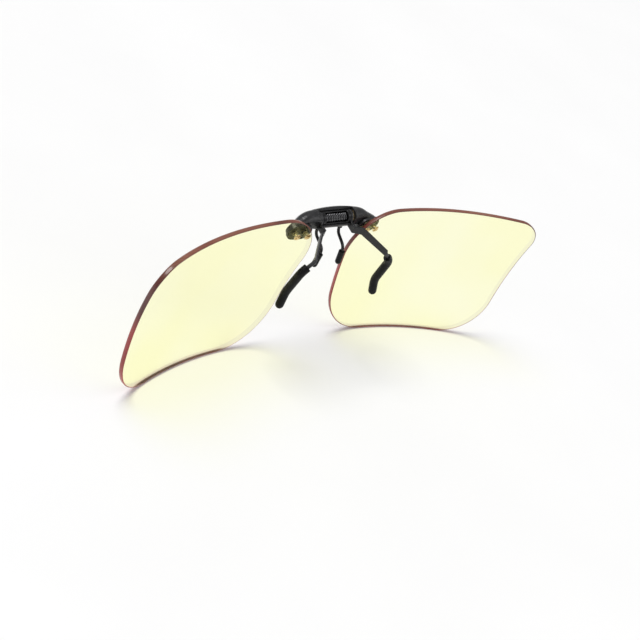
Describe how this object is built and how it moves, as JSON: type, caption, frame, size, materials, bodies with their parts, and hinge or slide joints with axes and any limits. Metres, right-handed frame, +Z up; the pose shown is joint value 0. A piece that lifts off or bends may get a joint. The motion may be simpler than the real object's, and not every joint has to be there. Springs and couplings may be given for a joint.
{
  "type": "clip on flip lenses",
  "caption": "Amber clip-on lenses for spectacles: rimless lenses on a black bridge that flips up, held by a sprung claw with rubber sleeves that grips the spectacle front.",
  "frame": {"origin": "the middle of the grip: in the middle plane, half way between the front rubber tips and the rear sleeves, where the spectacle front is held", "axes": "+X to the wearer's left along the hinge pin, -Y forward (the lens fronts face -Y), +Z up"},
  "size_m": [0.127, 0.0188, 0.0402],
  "materials": {
    "amber_lens": "clear polycarbonate with a light amber tint and a red-brown edge",
    "satin_black": "satin black enamel on stamped and cast metal",
    "dark_steel": "glossy black plated steel",
    "steel": "blackened drawn spring steel",
    "brass": "polished brass",
    "clear_nylon": "clear moulded nylon",
    "rubber": "matte black silicone rubber"
  },
  "bodies": {
    "base": {"hinge_barrel": "dark_steel", "hinge_pin": "steel", "left_friction_washer": "brass", "right_friction_washer": "brass", "left_front_prong": "dark_steel", "right_front_prong": "dark_steel", "left_front_tip": "rubber", "right_front_tip": "rubber"},
    "lenses": {"left_lens": "amber_lens", "right_lens": "amber_lens", "left_mount_pad": "satin_black", "right_mount_pad": "satin_black", "left_lens_rivets": "brass", "right_lens_rivets": "brass", "left_lens_bushes": "clear_nylon", "right_lens_bushes": "clear_nylon", "left_bridge_arm": "satin_black", "right_bridge_arm": "satin_black", "bridge_cover": "satin_black"},
    "claws": {"left_claw_arm": "satin_black", "right_claw_arm": "satin_black", "claw_spine": "satin_black", "left_rear_sleeve": "rubber", "right_rear_sleeve": "rubber", "torsion_spring": "steel"}
  },
  "joints": [
    {"name": "lens_flip", "type": "hinge", "parent": "base", "child": "lenses", "pos_m": [0, -0.0062, 0.0095], "axis": [-1, 0, 0], "range_deg": [0, 90]},
    {"name": "claw_open", "type": "hinge", "parent": "base", "child": "claws", "pos_m": [0, -0.0062, 0.0095], "axis": [1, 0, 0], "range_deg": [0, 25], "stiffness_Nm_per_rad": 0.004, "deforming": ["torsion_spring"]}
  ]
}
